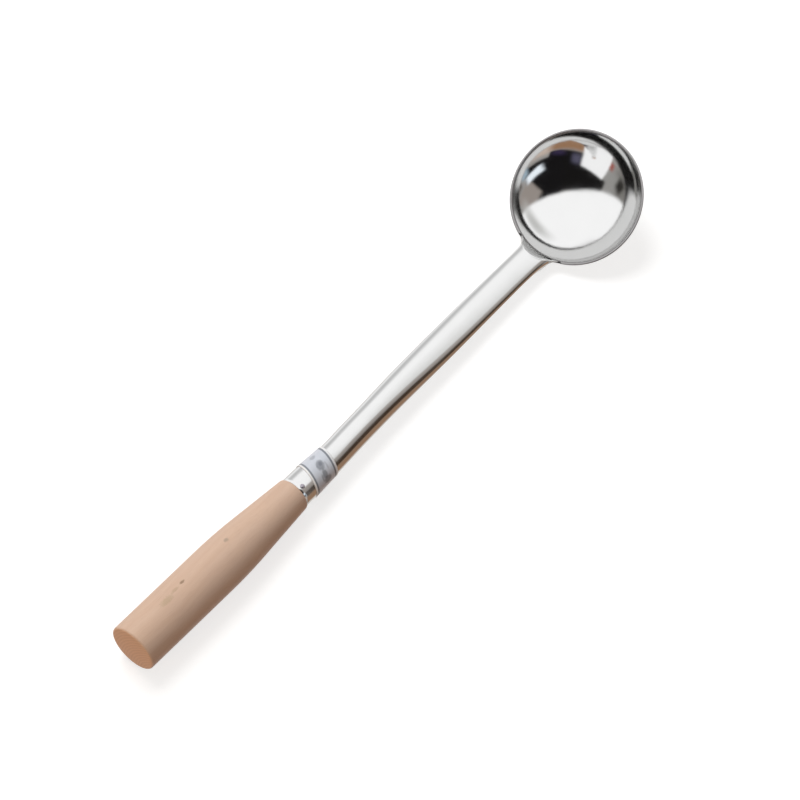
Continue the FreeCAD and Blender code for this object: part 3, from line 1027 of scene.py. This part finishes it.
@dataclass
class PressedSheet:
    """Bowl, neck and shank as one sheet: a polar grid for the bowl that runs on into a strip."""

    ladle: LadleFrame
    lip_crown: float = 0.45
    neck_slope: float = 72.0
    fold_round: float = 1.5
    seam_gap: float = 0.5
    end_setback: float = 0.3
    first_reach: float = -8.5
    flare_end: float = 16.0
    wrap_ease: float = 14.0
    strip_columns: int = 44
    rim_columns: int = 176
    floor_rings: int = 30
    wall_rings: int = 12
    foot_rows: int = 7
    fold_rows: int = 8
    flare_rows: int = 12
    shank_rows: int = 120
    knots: np.ndarray = field(init=False)
    spline: NaturalSpline = field(init=False)
    corner_reach: float = field(init=False)
    corner_angle: float = field(init=False)

    def __post_init__(self) -> None:
        """Lays the spline through the stations of the shank."""
        rows = self.station_rows()
        steps = np.linalg.norm(np.diff(rows[:, :3], axis=0), axis=1)
        self.knots = np.concatenate([[self.first_reach], self.first_reach + np.cumsum(steps)])
        self.spline = NaturalSpline(self.knots, rows)
        self.corner_reach, self.corner_angle = self.rim_corner()

    def stations(self) -> tuple[Station, ...]:
        """Sections of the shank.

        Returns:
            The sections, from inside the rim to where the tube is closed.
        """
        return (
            Station(self.first_reach, 0.0, 13.2, 4.8, 19.5, 100.0, 3.2),
            Station(-5.8, 0.0, 12.8, 4.8, 19.5, 100.0, 4.3),
            Station(-2.5, 0.0, 11.5, 4.8, 19.5, 100.0, 1.8),
            Station(2.0, 0.0, 10.6, 4.8, 16.6, 102.0, 0.5),
            Station(12.0, -0.2, 10.2, 4.8, 9.0, 110.0, 0.0),
            Station(32.0, -0.4, 10.25, 5.1, 5.4, 125.0, 0.0),
            Station(62.0, -0.4, 10.55, 5.8, 5.8, 144.0, 0.0),
            Station(100.0, -0.2, 10.7, 7.1, 7.1, 163.0, 0.0),
            Station(140.0, 0.1, 10.2, 8.7, 8.7, 176.0, 0.0),
            Station(170.0, 0.85, 9.7, 9.55, 9.55, None, 0.0),
        )

    def sockets(self) -> tuple[SocketRing, ...]:
        """Sections of the socket.

        Returns:
            The sections, from the shank to the grip's shoulder.
        """
        full = self.ladle.socket_radius
        return (SocketRing(52.0, -0.82, 9.7), SocketRing(35.0, 0.0, 9.85), SocketRing(24.0, 0.0, 10.4),
                SocketRing(13.0, 0.0, 10.95), SocketRing(7.0, 0.0, full), SocketRing(0.0, 0.0, full))

    def closed_wrap(self, radius: float) -> float:
        """Wrap angle in degrees that leaves only the seam open."""
        return 180 - math.degrees(math.asin(self.seam_gap / 2 / radius))

    def station_rows(self) -> np.ndarray:
        """Puts all sections into rows for the spline.

        Returns:
            Origin, side direction, half width, crown, depth, wrap and flare of each section.
        """
        rows = []
        for reach, bow, half, crown, depth, wrap, flare in self.stations():
            origin = self.ladle.start + self.ladle.along * reach + SIDEWAYS * bow
            rows.append([*origin, *SIDEWAYS, half, crown, depth, wrap or self.closed_wrap(half), flare])
        for back, drift, radius in self.sockets():
            origin = self.ladle.shoulder - self.ladle.grip_along * back + self.ladle.grip_side * drift
            outline = [radius, radius, radius, self.closed_wrap(radius), 0.0]
            rows.append([*origin, *self.ladle.grip_side, *outline])
        return np.array(rows)

    def outline_point(self, reach: float, angle: float) -> np.ndarray:
        """Point of the outer skin.

        Args:
            reach: Place along the shank.
            angle: Signed angle from the crown in degrees.

        Returns:
            The point in the ladle frame.
        """
        row = self.spline.at(reach)
        origin, side = row[:3], unit(row[3:6])
        half, crown, depth, wrap, flare = row[6:]
        turn = math.radians(abs(angle))
        height = crown if turn < math.pi / 2 else depth
        x = half * math.sin(turn) + max(0.0, flare) * (abs(angle) / wrap) ** 4
        return origin + side * math.copysign(x, angle) + self.ladle.over * (height * math.cos(turn))

    def rim_corner(self) -> tuple[float, float]:
        """Finds where the free edge of the shank starts, on the inner rim.

        Returns:
            Reach and angle of that point of the outline.
        """
        best = None
        for reach in np.linspace(self.first_reach, 0.0, 171):
            row = self.spline.at(reach)
            depth, level = row[8], -row[2] / self.ladle.over[2]
            angle = math.degrees(math.acos(max(-1.0, level / depth)))
            point = self.outline_point(reach, angle)
            miss = abs(math.hypot(point[0], point[1]) - self.ladle.inner_rim)
            if best is None or miss < best[0]:
                best = (miss, reach, angle)
        return best[1], best[2]

    def wrap_at(self, reach: float) -> float:
        """Wrap of a section, eased near the bowl so that the free edge starts on the rim.

        Args:
            reach: Place along the shank.

        Returns:
            Wrap in degrees.
        """
        full, at_corner = self.spline.at(reach)[9], self.spline.at(self.corner_reach)[9]
        slack = at_corner - self.corner_angle
        return full - slack * (1 - ease((reach - self.corner_reach) / self.wrap_ease))

    def skin(self, reach: float, share: float) -> np.ndarray:
        """Point of the outer skin at a share, from -1 to 1, of the wrap."""
        return self.outline_point(reach, share * self.wrap_at(reach))

    def fold_reach(self, share: float) -> float:
        """Finds where a column of the skin meets the climbing wall of the neck.

        Args:
            share: Share of the wrap.

        Returns:
            The reach.
        """
        low, high = self.corner_reach - 1.5, 12.0
        run = math.tan(math.radians(self.neck_slope))
        for _ in range(40):
            middle = (low + high) / 2
            point = self.skin(middle, share)
            if math.hypot(point[0], point[1]) < self.ladle.inner_rim + point[2] / run:
                low = middle
            else:
                high = middle
        return high

    def bowl_profile(self) -> Profile:
        """Rings of the bowl's inner skin.

        Returns:
            Radius and height of each ring, from the pole to the rim.
        """
        edge, rim = self.ladle.edge_slope(), math.radians(self.ladle.rim_slope)
        floor, wall = self.ladle.floor_radius, self.ladle.wall_radius()
        height = self.ladle.floor_centre_height()
        rings = []
        for i in range(1, self.floor_rings + 1):
            slope = edge * i / self.floor_rings
            rings.append((floor * math.sin(slope), height - floor * math.cos(slope)))
        for i in range(1, self.wall_rings + 1):
            slope = edge + (rim - edge) * i / self.wall_rings
            x = (floor - wall) * math.sin(edge) + wall * math.sin(slope)
            z = height - (floor - wall) * math.cos(edge) - wall * math.cos(slope)
            rings.append((x, z))
        return rings

    def column(self, share: float) -> tuple[list[np.ndarray], float]:
        """One column of the strip: up the neck, round the fold and along the shank.

        Args:
            share: Share of the wrap, from -1 to 1.

        Returns:
            Its points, and its azimuth on the rim from -y.
        """
        outer = abs(share) > 1 - 1e-9
        fold_at = self.corner_reach if outer else self.fold_reach(share)
        fold = self.skin(fold_at, share)
        azimuth = math.atan2(fold[0], -fold[1])
        foot = np.array([math.sin(azimuth), -math.cos(azimuth), 0.0]) * self.ladle.inner_rim
        if outer:
            fold = foot + UPWARDS * 0.02
        rise = np.linalg.norm(fold - foot)
        round_by = min(self.fold_round, rise * 0.45)
        before = fold + (foot - fold) * round_by / max(rise, 1e-6)
        after_at = fold_at + max(round_by, 0.05)
        after = self.skin(after_at, share)
        last = self.knots[-1] - self.end_setback
        path = [foot + (before - foot) * t for t in np.linspace(0, 1, self.foot_rows)]
        for t in np.linspace(0, 1, self.fold_rows)[1:]:
            path.append(before * (1 - t) ** 2 + fold * 2 * t * (1 - t) + after * t * t)
        flare, shank = (after_at, self.flare_end, self.flare_rows), (self.flare_end, last, self.shank_rows)
        for start, end, rows in (flare, shank):
            path += [self.skin(start + (end - start) * t, share) for t in np.linspace(0, 1, rows)[1:]]
        return path, azimuth

    def strip(self) -> tuple[np.ndarray, np.ndarray]:
        """The strip over neck and shank.

        Returns:
            Array of rows by columns by 3, the first row on the rim, and the columns' azimuths.
        """
        columns, azimuths = zip(*(self.column(share) for share in np.linspace(-1, 1, self.strip_columns + 1)))
        return np.array(columns).transpose(1, 0, 2), np.array(azimuths)

    def upper_skin(self) -> tuple[np.ndarray, Faces, list[int], int]:
        """Skin that shows inside the bowl and over the shank.

        Returns:
            Points, faces, the loop of points along the free edge, and how many of these lie on the rim.
        """
        rows, azimuths = self.strip()
        free = np.linspace(azimuths[-1], 2 * math.pi + azimuths[0], self.rim_columns + 2)[1:-1]
        turns = np.concatenate([azimuths, free])
        count, width = len(turns), len(azimuths)
        profile = self.bowl_profile()
        points = [UPWARDS * (self.ladle.floor_centre_height() - self.ladle.floor_radius)]
        for radius, height in profile:
            points += [np.array([radius * math.sin(a), -radius * math.cos(a), height]) for a in turns]
        faces = [(0, 1 + j, 1 + (j + 1) % count) for j in range(count)]
        for i in range(len(profile) - 1):
            base = 1 + i * count
            for j in range(count):
                k = (j + 1) % count
                faces.append((base + j, base + count + j, base + count + k, base + k))
        rim = 1 + (len(profile) - 1) * count
        before = [rim + j for j in range(width)]
        left, right = [], []
        for row in rows[1:]:
            here = [len(points) + j for j in range(width)]
            points += list(row)
            faces += [(before[j], here[j], here[j + 1], before[j + 1]) for j in range(width - 1)]
            left.append(here[0])
            right.append(here[-1])
            before = here
        around = [rim + width - 1 + j for j in range(self.rim_columns + 1)] + [rim]
        loop = around + left + before[1:-1] + right[::-1]
        return np.array(points), faces, loop, len(around)

    def thick(self) -> tuple[np.ndarray, Faces]:
        """Both skins and the rounded lip that joins them along the free edge.

        Returns:
            Points in the ladle frame and faces.
        """
        upper, faces, loop, on_rim = self.upper_skin()
        normals = self.point_normals(upper, faces)
        lower = upper - normals * self.ladle.sheet
        size = len(upper)
        faces = faces + [tuple(size + i for i in reversed(face)) for face in faces]
        edge = np.array(loop)
        lip = self.lip(upper[edge], lower[edge], normals[edge], on_rim)
        middle = [2 * size + i * len(edge) + np.arange(len(edge)) for i in range(len(lip))]
        rings = [edge, *middle, edge + size]
        for near, far in zip(rings, rings[1:]):
            for j in range(len(edge)):
                k = (j + 1) % len(edge)
                faces.append((near[j], far[j], far[k], near[k]))
        return np.concatenate([upper, lower, *lip]), faces

    def lip(self, upper: np.ndarray, lower: np.ndarray, normals: np.ndarray, on_rim: int) -> list[np.ndarray]:
        """Rows of points over the free edge: flat-topped on the rim, nearly square on the shank.

        Args:
            upper: Points of the upper skin along the free edge.
            lower: Points of the lower skin there.
            normals: Normals of the upper skin there.
            on_rim: How many of these points, from the first, lie on the rim.

        Returns:
            The rows, from the upper skin to the lower.
        """
        tangents = unit(np.roll(upper, -1, axis=0) - np.roll(upper, 1, axis=0))
        outward = unit(np.cross(tangents, normals))
        outward[:on_rim] = UPWARDS
        azimuth = np.arctan2(upper[:, 0], -upper[:, 1])
        outer = np.stack([np.sin(azimuth), -np.cos(azimuth), np.zeros_like(azimuth)], 1)
        targets = lower.copy()
        targets[:on_rim] = outer[:on_rim] * self.ladle.rim_radius
        targets[on_rim:] += outward[on_rim:] * 0.1
        crowns = np.full(len(upper), self.lip_crown)
        crowns[on_rim:] = self.end_setback * 0.8
        for _ in range(3):
            outward = unit(outward + 0.5 * (np.roll(outward, 1, axis=0) + np.roll(outward, -1, axis=0)))
        rows = []
        for share, bulge in ((0.12, 0.62), (0.32, 0.93), (0.55, 1.0), (0.78, 0.88), (0.93, 0.5), (1.0, 0.0)):
            rows.append(upper * (1 - share) + targets * share + outward * (crowns * bulge)[:, None])
        return rows

    @staticmethod
    def point_normals(points: np.ndarray, faces: Faces) -> np.ndarray:
        """Normals at the points, weighed by the size of the faces round each.

        Args:
            points: Points of a skin.
            faces: Its faces.

        Returns:
            A normal for each point.
        """
        normals = np.zeros_like(points)
        for face in faces:
            a, b, c = (points[face[i]] for i in (0, len(face) // 2, len(face) - 1))
            normal = np.cross(b - a, c - a)
            for i in face:
                normals[i] += normal
        return unit(normals)

    def build(self, finish: PolishedSteel) -> bpy.types.Object:
        """Makes the piece and seats the ladle frame on it.

        Args:
            finish: Finish of the sheet.

        Returns:
            The finished object.
        """
        points, faces = self.thick()
        self.ladle.seat(points)
        mesh = bpy.data.meshes.new("pressed_sheet")
        whole = [tuple(int(i) for i in face) for face in faces]
        mesh.from_pydata(self.ladle.place(points).tolist(), [], whole)
        face_outwards(mesh)
        mesh.shade_smooth()
        mesh.materials.append(finish.build(self.bowl_axes(), self.shank_axes()))
        return put("pressed_sheet", mesh)

    def bowl_axes(self) -> Matrix:
        """Own axes of the bowl, z up through its pole."""
        return self.ladle.axes(np.zeros(3), SIDEWAYS, np.array([0.0, 1.0, 0.0]), UPWARDS)

    def shank_axes(self) -> Matrix:
        """Own axes of the shank, z along it from the rim."""
        return self.ladle.axes(self.ladle.start, -SIDEWAYS, self.ladle.over, self.ladle.along)


@dataclass
class WoodenGrip:
    """Turned grip: tenon, conical nose, long bend, straight barrel and rounded butt."""

    ladle: LadleFrame
    nose_radius: float = 11.75
    bend_length: float = 31.0
    butt_round: float = 1.6
    nose_round: float = 0.7
    butt_dome: float = 0.7
    tenon_length: float = 27.0
    tenon_radius: float = 9.5
    tenon_tip: float = 8.2
    tenon_straight: float = 7.0
    steps_around: int = 96

    def profile(self) -> Profile:
        """Outline of the grip, from the tenon's tip to the butt's centre.

        Returns:
            Radius and place along the grip of each point.
        """
        length, radius = self.ladle.grip_length, self.ladle.grip_radius
        bend_end = length - self.ladle.grip_straight
        nose_end = bend_end - self.bend_length
        fall = (radius - self.nose_radius) / (nose_end + self.bend_length / 2)
        points = [(0.0, -self.tenon_length), (self.tenon_tip, -self.tenon_length),
                  (self.tenon_radius, -self.tenon_straight), (self.tenon_radius, 0.0)]
        points += arc((self.nose_radius - self.nose_round, self.nose_round), self.nose_round, -90, 0, 5)
        points += [(self.nose_radius + fall * z, z) for z in np.linspace(self.nose_round + 1, nose_end, 12)]
        for t in np.linspace(0, 1, 14)[1:]:
            rise = fall * (nose_end + self.bend_length * (t - t * t / 2))
            points.append((self.nose_radius + rise, nose_end + self.bend_length * t))
        points += [(radius, z) for z in np.linspace(bend_end, length - self.butt_round, 16)[1:-1]]
        points += arc((radius - self.butt_round, length - self.butt_round), self.butt_round, 0, 84, 7)
        for t in np.linspace(0.97, 0, 12):
            points.append(((radius - self.butt_round) * t, length + self.butt_dome * (1 - t * t)))
        return points

    def build(self, former: TurnedForm, finish: BareBeech) -> bpy.types.Object:
        """Makes the piece."""
        axes = self.ladle.grip_axes()
        return former.make("turned_grip", self.profile(), self.steps_around, finish.build(axes), axes)


@dataclass
class HolePin:
    """Wire pin with a low domed head on the side of the socket."""

    ladle: LadleFrame
    radius: float = 0.9
    length: float = 13.0
    tip_bevel: float = 0.15
    head_radius: float = 1.6
    head_height: float = 0.7
    head_sink: float = 0.12
    from_shoulder: float = 3.2
    turn: float = 22.0
    steps_around: int = 40

    def axes(self) -> Matrix:
        """Finds where the pin stands.

        Returns:
            Own axes of the pin, z out of the socket.
        """
        turn = math.radians(self.turn)
        over, side = self.ladle.over, self.ladle.grip_side
        outward = over * math.cos(turn) + side * math.sin(turn)
        across = side * math.cos(turn) - over * math.sin(turn)
        back = self.ladle.shoulder - self.ladle.grip_along * self.from_shoulder
        foot = back + outward * self.ladle.socket_radius
        return self.ladle.axes(foot, across, self.ladle.grip_along, outward)

    def profile(self) -> Profile:
        """Outline of the pin, from the tip of the wire to the top of the head.

        Returns:
            Radius and place along the pin of each point.
        """
        ball = (self.head_radius ** 2 + self.head_height ** 2) / (2 * self.head_height)
        reach = math.degrees(math.asin(self.head_radius / ball))
        dome = arc((0.0, self.head_height - ball), ball, 90 - reach, 90, 8)
        wire = [(0.0, -self.length), (self.radius - self.tip_bevel, -self.length),
                (self.radius, -self.length + self.tip_bevel), (self.radius, -self.head_sink)]
        return wire + [(self.head_radius, -self.head_sink), (self.head_radius, 0.0)] + dome[1:]

    def build(self, former: TurnedForm, finish: PinSteel) -> bpy.types.Object:
        """Makes the piece."""
        axes = self.axes()
        return former.make("pin", self.profile(), self.steps_around, finish.build(axes), axes)


@dataclass
class PrintedBand:
    """Thin paper band round the flared part of the socket, stuck on askew."""

    ladle: LadleFrame
    start_at: float = 12.1
    width: float = 21.0
    skew: float = 13.0
    clearance: float = 0.09
    thickness: float = 0.16
    near: tuple[float, float] = (13.0, 10.95)
    far: tuple[float, float] = (35.0, 9.85)
    steps_across: int = 14
    steps_around: int = 96

    def profile(self) -> Profile:
        """Closed section of the band.

        Returns:
            Radius and place along the grip of each point.
        """
        slope = (self.far[1] - self.near[1]) / (self.far[0] - self.near[0])
        backs = np.linspace(self.start_at, self.start_at + self.width, self.steps_across)
        inner = [(self.near[1] + slope * (b - self.near[0]) + self.clearance, -b) for b in backs]
        return inner + [(r + self.thickness, z) for r, z in reversed(inner)]

    def build(self, former: TurnedForm, finish: PrintedPaper) -> bpy.types.Object:
        """Makes the piece.

        Args:
            former: What revolves the section.
            finish: Finish of the band.

        Returns:
            The finished object.
        """
        axes = self.ladle.grip_axes()
        lean = -math.tan(math.radians(self.skew))
        return former.make("paper_band", self.profile(), self.steps_around, finish.build(axes), axes,
                           closed=True, skew=lean)


def aimed(azimuth: float, elevation: float) -> Vector:
    """Direction of an azimuth, counted from -y towards +x, and an elevation in degrees."""
    az, el = math.radians(azimuth), math.radians(elevation)
    return Vector((math.cos(el) * math.sin(az), -math.cos(el) * math.cos(az), math.sin(el)))


@dataclass
class Camera:
    """Camera at the picture's viewing angle; angles in degrees, focal length in pixels."""

    azimuth: float = 36.303
    elevation: float = 58.773
    distance: float = 2.88678
    aim: tuple[float, float, float] = (-0.00231, 0.02379, -0.01225)
    roll: float = -4.135
    focal: float = 4500.0
    frame_width: float = 800.0
    sensor: float = 36.0

    def build(self) -> None:
        """Makes the camera and sets it as the scene's."""
        roll = math.radians(self.roll)
        back = aimed(self.azimuth, self.elevation)
        right = (-back).cross(Vector((0, 0, 1))).normalized()
        down = (-back).cross(right)
        across = right * math.cos(roll) + down * math.sin(roll)
        upward = right * math.sin(roll) - down * math.cos(roll)
        data = bpy.data.cameras.new("picture_camera")
        data.sensor_width = self.sensor
        data.lens = self.sensor * self.focal / self.frame_width
        data.clip_start, data.clip_end = 0.05, 50.0
        camera = put("picture_camera", data)
        camera.matrix_world = matrix_of((across, upward, back), Vector(self.aim) + back * self.distance)
        bpy.context.scene.camera = camera


@dataclass(frozen=True)
class Panel:
    """Soft-edged panel of the studio: a direction and a size in degrees, and its shade in the steel."""

    azimuth: float
    elevation: float
    width: float
    height: float
    shade: Shade
    softness: float = 0.4
    turn: float = 0.0

    def mask(self, net: Net, direction: Socket) -> Socket:
        """Masks the panel out of the directions.

        Args:
            net: Net of the world.
            direction: Direction that is looked at.

        Returns:
            The mask.
        """
        forward = aimed(self.azimuth, self.elevation)
        level = forward.cross(Vector((0, 0, 1))).normalized()
        upright = level.cross(forward)
        c, s = math.cos(math.radians(self.turn)), math.sin(math.radians(self.turn))
        return effect(net, EFFECTS.panel(), Direction=direction, Right=level * c + upright * s,
                      Up=upright * c - level * s, Forward=forward,
                      Half_Width=math.tan(math.radians(self.width / 2)),
                      Half_Height=math.tan(math.radians(self.height / 2)), Softness=self.softness)["Mask"]


@dataclass(frozen=True)
class Cap:
    """Round soft-edged part of the studio, with its radius and soft edge in degrees."""

    azimuth: float
    elevation: float
    radius: float
    softness: float
    shade: Shade

    def mask(self, net: Net, direction: Socket) -> Socket:
        """Masks the cap out of the directions.

        Args:
            net: Net of the world.
            direction: Direction that is looked at.

        Returns:
            The mask.
        """
        inner, outer = math.radians(self.radius - self.softness), math.radians(self.radius + self.softness)
        return effect(net, EFFECTS.cap(), Direction=direction, Forward=aimed(self.azimuth, self.elevation),
                      Inner=inner, Outer=outer)["Mask"]


@dataclass(frozen=True)
class Lamp:
    """Round soft lamp that looks at the ladle and stays out of the steel."""

    name: str
    place: tuple[float, float, float]
    size: float
    power: float
    colour: Colour = (1.0, 1.0, 1.0)

    def build(self) -> None:
        """Makes the lamp."""
        data = bpy.data.lights.new(self.name, "AREA")
        data.shape = "DISK"
        data.size = self.size
        data.energy = self.power
        data.color = self.colour
        lamp = put(self.name, data)
        lamp.location = self.place
        lamp.rotation_mode = "QUATERNION"
        lamp.rotation_quaternion = (-Vector(self.place)).to_track_quat("-Z", "Y")
        lamp.visible_glossy = False


@dataclass
class Studio:
    """Floor, world and lamps; the floor's radius in metres."""

    floor_radius: float = 1.5
    floor_steps: int = 96
    paper: Colour = (0.48, 0.48, 0.48)
    paper_lift: float = 0.70
    table: Colour = (0.38, 0.20, 0.12)
    ambient: Colour = (1.0, 0.97, 0.94)
    ambient_strength: float = 0.34
    walls: Shade = (150, 147, 144)
    lamps: tuple[Lamp, ...] = (
        Lamp("soft_lamp", (-0.9, 0.3, 1.5), 1.2, 24.5),
        Lamp("warm_fill", (0.0, -1.4, 0.35), 0.6, 3.6, (1.0, 0.72, 0.45)),
    )

    def light(self, shade: Shade) -> Colour:
        """Light that shows as the given sRGB shade after one bounce off the steel."""
        linear = [((part / 255 + 0.055) / 1.055) ** 2.4 for part in shade]
        return tuple(value / tint for value, tint in zip(linear, STEEL_TINT))

    def surroundings(self) -> tuple[Panel | Cap, ...]:
        """What the steel reflects.

        Returns:
            Panels and caps, the later ones over the earlier.
        """
        return (
            Cap(200, -62, 46, 26, (205, 202, 198)),
            Panel(196, -24, 110, 16, (84, 80, 77), 0.7),
            Panel(216, 4, 70, 20, (236, 236, 236), 0.5),
            Panel(-112, -8, 100, 44, (225, 225, 225), 0.5),
            Panel(-100, 40, 130, 60, (235, 235, 235)),
            Panel(-52, 8, 44, 50, (120, 118, 114)),
            Panel(-33, 14, 26, 36, (144, 143, 140)),
            Panel(-46, 0, 12, 16, (45, 43, 40), 0.6),
            Panel(-23, -7, 8, 10, (150, 88, 80), 0.6),
            Panel(36, -14, 60, 22, (146, 112, 86)),
            Panel(75, -8, 34, 18, (190, 174, 162), 0.5),
            Panel(30, 25, 60, 52, (20, 19, 19), 0.08),
            Panel(70, 36, 60, 56, (20, 19, 20), 0.10),
            Panel(0, 38, 54, 40, (20, 19, 19), 0.10),
            Panel(22, 10, 12, 14, (80, 78, 96), 0.7),
            Panel(46, 3, 16, 8, (48, 40, 66), 0.8),
            Panel(-3, -2, 36, 42, (240, 240, 240), 0.08),
            Panel(114, 40, 36, 28, (146, 138, 132), 0.15),
            Panel(84, 23, 30, 11, (232, 240, 247), 0.35, -8),
            Panel(100, 10, 14, 14, (150, 168, 180), 0.6),
            Panel(119, 4, 16, 34, (58, 43, 30)),
            Panel(119, -32, 40, 44, (140, 112, 90), 0.35),
            Cap(-120.5, 50.5, 67.4, 3, (245, 245, 245)),
            Panel(160, 48, 44, 14, (190, 190, 188), 0.9, -14),
            Panel(-118, 10, 22, 34, (186, 186, 186), 0.8),
        )

    def build_world(self) -> None:
        """White behind the camera's view; the studio for the steel; plain grey for the rest."""
        world = bpy.data.worlds.new("studio")
        world.use_nodes = True
        world.node_tree.nodes.clear()
        net = Net(world.node_tree)
        direction = net.add("ShaderNodeTexCoord").outputs["Generated"]
        colour = self.light(self.walls)
        for form in self.surroundings():
            colour = net.mix(form.mask(net, direction), colour, self.light(form.shade))
        ambient = {"Color": self.ambient, "Strength": self.ambient_strength}
        plain = net.add("ShaderNodeBackground", ambient).outputs[0]
        room = net.add("ShaderNodeBackground", {"Color": colour}).outputs[0]
        white = net.add("ShaderNodeBackground", {"Color": (1.0, 1.0, 1.0)}).outputs[0]
        paths = net.add("ShaderNodeLightPath").outputs
        glossy = net.add("ShaderNodeMixShader", {0: paths["Is Glossy Ray"], 1: plain, 2: room}).outputs[0]
        seen = net.add("ShaderNodeMixShader", {0: paths["Is Camera Ray"], 1: glossy, 2: white}).outputs[0]
        net.add("ShaderNodeOutputWorld", {"Surface": seen})
        bpy.context.scene.world = world

    def floor_material(self) -> bpy.types.Material:
        """White paper for the camera, a warm table for the light that bounces, nothing for the steel.

        Returns:
            The material.
        """
        material = bpy.data.materials.new("white_floor")
        material.use_nodes = True
        material.node_tree.nodes.clear()
        net = Net(material.node_tree)
        paper = net.add("ShaderNodeBsdfDiffuse", {"Color": self.paper}).outputs[0]
        glow = {"Color": (1.0, 1.0, 1.0), "Strength": self.paper_lift}
        lift = net.add("ShaderNodeEmission", glow).outputs[0]
        lit = net.add("ShaderNodeAddShader", {0: paper, 1: lift}).outputs[0]
        table = net.add("ShaderNodeBsdfDiffuse", {"Color": self.table}).outputs[0]
        clear = net.add("ShaderNodeBsdfTransparent").outputs[0]
        paths = net.add("ShaderNodeLightPath").outputs
        mixed = net.add("ShaderNodeMixShader", {0: paths["Is Camera Ray"], 1: table, 2: lit}).outputs[0]
        whole = net.add("ShaderNodeMixShader", {0: paths["Is Glossy Ray"], 1: mixed, 2: clear}).outputs[0]
        net.add("ShaderNodeOutputMaterial", {"Surface": whole})
        return material

    def build_floor(self) -> None:
        """Plain floor that keeps a soft shadow."""
        mesh = bpy.data.meshes.new("floor")
        turns = [2 * math.pi * i / self.floor_steps for i in range(self.floor_steps)]
        ring = [(self.floor_radius * math.cos(a), self.floor_radius * math.sin(a), 0.0) for a in turns]
        mesh.from_pydata(ring, [], [tuple(range(self.floor_steps))])
        mesh.materials.append(self.floor_material())
        put("floor", mesh)

    def build(self) -> None:
        """Makes the whole studio and sets the view."""
        self.build_world()
        self.build_floor()
        for lamp in self.lamps:
            lamp.build()
        bpy.context.scene.view_settings.view_transform = "Standard"


def attach(piece: bpy.types.Object, node: str) -> None:
    """Lets a piece stand for its CAD node and logs how many faces it has.

    Args:
        piece: The finished piece.
        node: The CAD node that it replaces.
    """
    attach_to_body(piece, "root")
    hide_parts(node)
    LOG.info("%s stands for %s: %d faces", piece.name, node, len(piece.data.polygons))


def main() -> None:
    """Builds the pieces in order."""
    logging.basicConfig(level=logging.INFO, format="%(message)s")
    ladle = LadleFrame()
    former = TurnedForm()
    sheet = PressedSheet(ladle)
    attach(sheet.build(PolishedSteel("polished_sheet")), "ladle_body")
    beech = BareBeech("bare_beech", ladle.grip_length, ladle.grip_radius)
    attach(WoodenGrip(ladle).build(former, beech), "wooden_grip")
    attach(HolePin(ladle).build(former, PinSteel("pin_wire")), "grip_pin")
    band = PrintedBand(ladle)
    paper = PrintedPaper("printed_paper", band.start_at, band.width, band.skew)
    attach(band.build(former, paper), "printed_band")
    Studio().build()
    Camera().build()


if __name__ == "__main__":
    main()
